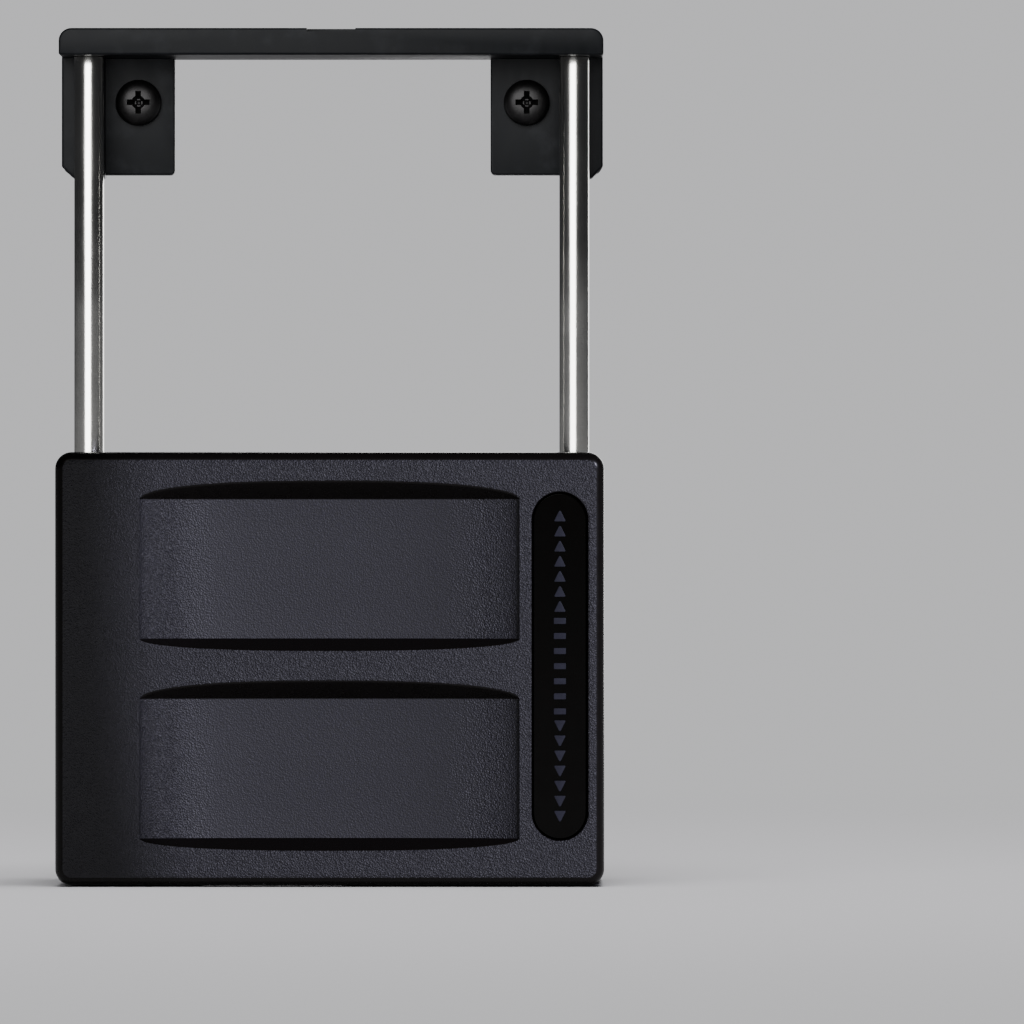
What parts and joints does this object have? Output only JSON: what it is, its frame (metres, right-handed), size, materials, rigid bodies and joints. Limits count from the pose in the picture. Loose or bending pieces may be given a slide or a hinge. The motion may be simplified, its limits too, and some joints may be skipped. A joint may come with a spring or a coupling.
{
  "type": "circuit breaker lockout slide",
  "caption": "Sliding black cover on steel rods between end brackets, hiding one of two circuit breaker banks so only the other can be switched on.",
  "frame": {"origin": "centre of the four mounting screws, on the panel's front plane, which is the back of the bracket feet", "axes": "+Z along the rods, the way the cover slides up; +X to the right seen from the front; the cover faces -Y and the screws run along +Y into the panel"},
  "size_m": [0.0728, 0.0357, 0.1142],
  "materials": {
    "bracket_abs": "satin moulded",
    "rod_steel": "ground and polished",
    "screw_black": "black oxide",
    "cover_abs": "spark-eroded grain",
    "inlay_gloss": "gloss",
    "bush_acetal": "natural",
    "ring_rubber": "moulded"
  },
  "bodies": {
    "base": {"upper_bracket": "bracket_abs", "lower_bracket": "bracket_abs", "left_rod": "rod_steel", "right_rod": "rod_steel", "upper_left_screw": "screw_black", "upper_right_screw": "screw_black", "lower_left_screw": "screw_black", "lower_right_screw": "screw_black"},
    "slide": {"slide_cover": "cover_abs", "marking_inlay": "inlay_gloss", "upper_left_bush": "bush_acetal", "upper_right_bush": "bush_acetal", "lower_left_bush": "bush_acetal", "lower_right_bush": "bush_acetal", "upper_left_drag_ring": "ring_rubber", "upper_right_drag_ring": "ring_rubber", "lower_left_drag_ring": "ring_rubber", "lower_right_drag_ring": "ring_rubber"}
  },
  "joints": [
    {"name": "cover_slide", "type": "slide", "parent": "base", "child": "slide", "axis": [0, 0, 1], "range_m": [0, 0.0568]}
  ]
}
